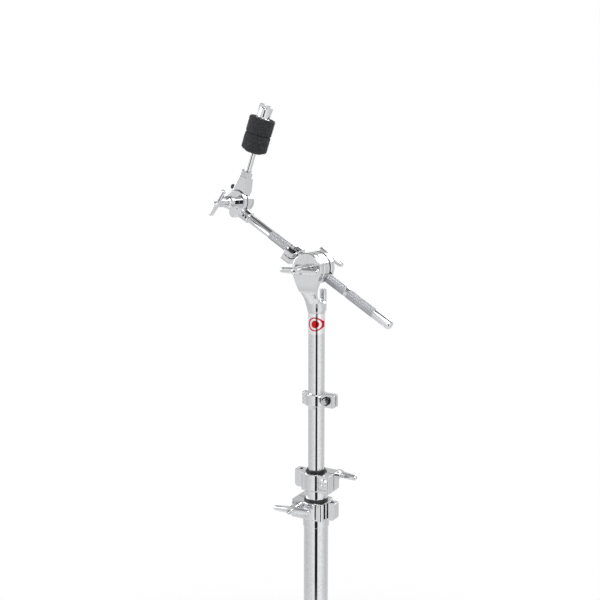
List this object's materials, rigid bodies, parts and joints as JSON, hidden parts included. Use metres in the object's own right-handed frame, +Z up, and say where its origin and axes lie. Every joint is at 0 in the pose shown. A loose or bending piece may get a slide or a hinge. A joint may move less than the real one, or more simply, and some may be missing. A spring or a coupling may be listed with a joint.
{
  "type": "cymbal boom stand",
  "caption": "Free-standing cymbal stand with telescoping tubes, a short boom arm on a disc clutch, a tilter with felts, and a folding tripod.",
  "frame": {"origin": "on the common axis of the vertical tubes, at the floor", "axes": "+Z up, +X along the floor under the boom's low end, +Y to the back along the clutch axis"},
  "size_m": [0.6262, 0.5426, 1.0395],
  "materials": {
    "felt": "dense wool felt",
    "black_nylon": "moulded nylon",
    "chrome_tube": "polished chrome plate",
    "cast_chrome": "chrome plate over a zinc casting",
    "wing_chrome": "chrome plate",
    "bright_steel": "bright zinc plate",
    "black_steel": "black oxide",
    "leg_steel": "chrome plated strip steel",
    "rubber": "moulded rubber",
    "pale_band": "clear-edged film",
    "red_mark": "red enamel"
  },
  "bodies": {
    "base": {"base_tube": "chrome_tube", "lower_clamp": "cast_chrome", "lower_clamp_nut": "cast_chrome", "lower_hub": "cast_chrome", "lower_hub_pins": "bright_steel", "lower_hub_screw": "bright_steel"},
    "leg_hub": {"leg_hub": "cast_chrome", "leg_hub_pins": "bright_steel"},
    "leg_hub_wing_bolt": {"leg_hub_wing_bolt": "wing_chrome"},
    "lower_wing_bolt": {"lower_wing_bolt": "wing_chrome"},
    "lower_bushing": {"lower_bushing": "black_nylon"},
    "middle_tube": {"middle_tube": "chrome_tube", "upper_clamp": "cast_chrome", "upper_clamp_nut": "cast_chrome"},
    "upper_wing_bolt": {"upper_wing_bolt": "wing_chrome"},
    "upper_bushing": {"upper_bushing": "black_nylon"},
    "upper_tube": {"upper_tube": "chrome_tube", "tube_band": "pale_band", "tube_mark": "red_mark", "clutch_yoke": "cast_chrome", "yoke_pin": "bright_steel"},
    "tube_lock": {"tube_lock_front": "cast_chrome", "tube_lock_rear": "cast_chrome", "tube_lock_pin": "bright_steel"},
    "tube_lock_bolt": {"tube_lock_bolt": "bright_steel"},
    "boom_hub": {"boom_hub": "cast_chrome", "clutch_washer": "black_nylon", "clutch_gasket": "black_nylon", "clutch_rear_plate": "cast_chrome"},
    "clutch_wing_bolt": {"clutch_wing_bolt": "wing_chrome"},
    "boom_wing_bolt": {"boom_wing_bolt": "wing_chrome"},
    "boom_liner": {"boom_liner": "black_nylon"},
    "boom": {"boom_rod": "chrome_tube", "tilter_base": "cast_chrome", "socket_screws": "black_steel", "tilter_brake_cap": "cast_chrome", "tilter_brake_spring": "black_steel"},
    "boom_lock": {"boom_lock": "cast_chrome"},
    "boom_lock_bolt": {"boom_lock_bolt": "bright_steel"},
    "tilter_wing_bolt": {"tilter_wing_bolt": "wing_chrome"},
    "tilter_head": {"tilter_head": "cast_chrome", "tilter_washer": "black_nylon", "tilter_nut": "bright_steel", "head_lock_screw": "black_steel", "cymbal_rod": "chrome_tube", "rod_jam_nut": "bright_steel", "cymbal_washer": "black_steel", "cymbal_sleeve": "black_nylon", "lower_felt": "felt", "upper_felt": "felt"},
    "cymbal_wing_nut": {"cymbal_wing_nut": "wing_chrome"},
    "leg_1": {"leg_1": "leg_steel", "foot_1": "rubber"},
    "brace_1": {"brace_1": "leg_steel"},
    "leg_2": {"leg_2": "leg_steel", "foot_2": "rubber"},
    "brace_2": {"brace_2": "leg_steel"},
    "leg_3": {"leg_3": "leg_steel", "foot_3": "rubber"},
    "brace_3": {"brace_3": "leg_steel"}
  },
  "joints": [
    {"name": "hub_slide", "type": "slide", "parent": "base", "child": "leg_hub", "axis": [0, 0, 1], "range_m": [0, 0.10457]},
    {"name": "leg_fold_1", "type": "hinge", "parent": "leg_hub", "child": "leg_1", "pos_m": [0, 0.027, 0.32656], "axis": [-1, 0, 0], "range_deg": [0, 41]},
    {"name": "brace_fold_1", "type": "hinge", "parent": "base", "child": "brace_1", "pos_m": [0, 0.027, 0.072], "axis": [1, 0, 0], "range_deg": [0, 41]},
    {"name": "leg_fold_2", "type": "hinge", "parent": "leg_hub", "child": "leg_2", "pos_m": [-0.02338, -0.0135, 0.32656], "axis": [0.5, -0.866, 0], "range_deg": [0, 41]},
    {"name": "brace_fold_2", "type": "hinge", "parent": "base", "child": "brace_2", "pos_m": [-0.02338, -0.0135, 0.072], "axis": [-0.5, 0.866, 0], "range_deg": [0, 41]},
    {"name": "leg_fold_3", "type": "hinge", "parent": "leg_hub", "child": "leg_3", "pos_m": [0.02338, -0.0135, 0.32656], "axis": [0.5, 0.866, 0], "range_deg": [0, 41]},
    {"name": "brace_fold_3", "type": "hinge", "parent": "base", "child": "brace_3", "pos_m": [0.02338, -0.0135, 0.072], "axis": [-0.5, -0.866, 0], "range_deg": [0, 41]},
    {"name": "leg_hub_wing_bolt_turn", "type": "hinge", "parent": "leg_hub", "child": "leg_hub_wing_bolt", "pos_m": [-0.02373, 0.0137, 0.32656], "axis": [-0.866, 0.5, 0], "continuous": true},
    {"name": "lower_wing_bolt_turn", "type": "hinge", "parent": "base", "child": "lower_wing_bolt", "pos_m": [-0.0182, -0.0154, 0.5766], "axis": [0, -1, 0], "continuous": true},
    {"name": "middle_tube_turn", "type": "hinge", "parent": "base", "child": "lower_bushing", "pos_m": [0, 0, 0.585], "axis": [0, 0, 1], "continuous": true},
    {"name": "middle_tube_slide", "type": "slide", "parent": "lower_bushing", "child": "middle_tube", "axis": [0, 0, 1], "range_m": [0, 0.33]},
    {"name": "upper_wing_bolt_turn", "type": "hinge", "parent": "middle_tube", "child": "upper_wing_bolt", "pos_m": [0.0166, 0.0154, 0.6106], "axis": [0, 1, 0], "continuous": true},
    {"name": "upper_tube_turn", "type": "hinge", "parent": "middle_tube", "child": "upper_bushing", "pos_m": [0, 0, 0.619], "axis": [0, 0, 1], "continuous": true},
    {"name": "upper_tube_slide", "type": "slide", "parent": "upper_bushing", "child": "upper_tube", "axis": [0, 0, 1], "range_m": [-0.068, 0.165]},
    {"name": "tube_lock_slide", "type": "slide", "parent": "upper_tube", "child": "tube_lock", "axis": [0, 0, 1], "range_m": [0, 0.055]},
    {"name": "tube_lock_bolt_turn", "type": "hinge", "parent": "tube_lock", "child": "tube_lock_bolt", "pos_m": [0.0164, -0.0074, 0.70585], "axis": [0, 1, 0], "continuous": true},
    {"name": "boom_tilt", "type": "hinge", "parent": "upper_tube", "child": "boom_hub", "pos_m": [0, 0, 0.8566], "axis": [0, 1, 0], "range_deg": [-50, 26]},
    {"name": "clutch_wing_bolt_turn", "type": "hinge", "parent": "boom_hub", "child": "clutch_wing_bolt", "pos_m": [0, -0.0252, 0.8566], "axis": [0, -1, 0], "continuous": true},
    {"name": "boom_wing_bolt_turn", "type": "hinge", "parent": "boom_hub", "child": "boom_wing_bolt", "pos_m": [0.00615, 0.0089, 0.86644], "axis": [0, 1, 0], "continuous": true},
    {"name": "boom_turn", "type": "hinge", "parent": "boom_hub", "child": "boom_liner", "pos_m": [-0.0008, -0.001, 0.85533], "axis": [0.848, 0, -0.5299], "range_deg": [-90, 90]},
    {"name": "boom_slide", "type": "slide", "parent": "boom_liner", "child": "boom", "axis": [-0.848, 0, 0.5299], "range_m": [0, 0.078]},
    {"name": "boom_lock_slide", "type": "slide", "parent": "boom", "child": "boom_lock", "axis": [-0.848, 0, 0.5299], "range_m": [0, 0.03]},
    {"name": "boom_lock_bolt_turn", "type": "hinge", "parent": "boom_lock", "child": "boom_lock_bolt", "pos_m": [-0.02337, -0.0148, 0.8758], "axis": [0.5299, 0, 0.848], "continuous": true},
    {"name": "tilter_tilt", "type": "hinge", "parent": "boom", "child": "tilter_head", "pos_m": [-0.10222, -0.001, 0.92814], "axis": [0, 1, 0], "range_deg": [-80, 66]},
    {"name": "tilter_wing_bolt_turn", "type": "hinge", "parent": "tilter_head", "child": "tilter_wing_bolt", "pos_m": [-0.10222, -0.001, 0.92814], "axis": [0, -1, 0], "continuous": true},
    {"name": "cymbal_wing_nut_turn", "type": "hinge", "parent": "tilter_head", "child": "cymbal_wing_nut", "pos_m": [-0.06901, -0.001, 1.02246], "axis": [0.3322, 0, 0.9432], "continuous": true}
  ],
  "couplings": [
    {"joint": "leg_fold_1", "follows": "hub_slide", "rad_per_m": 6.8434},
    {"joint": "brace_fold_1", "follows": "hub_slide", "rad_per_m": 6.8434},
    {"joint": "leg_fold_2", "follows": "hub_slide", "rad_per_m": 6.8434},
    {"joint": "brace_fold_2", "follows": "hub_slide", "rad_per_m": 6.8434},
    {"joint": "leg_fold_3", "follows": "hub_slide", "rad_per_m": 6.8434},
    {"joint": "brace_fold_3", "follows": "hub_slide", "rad_per_m": 6.8434}
  ]
}
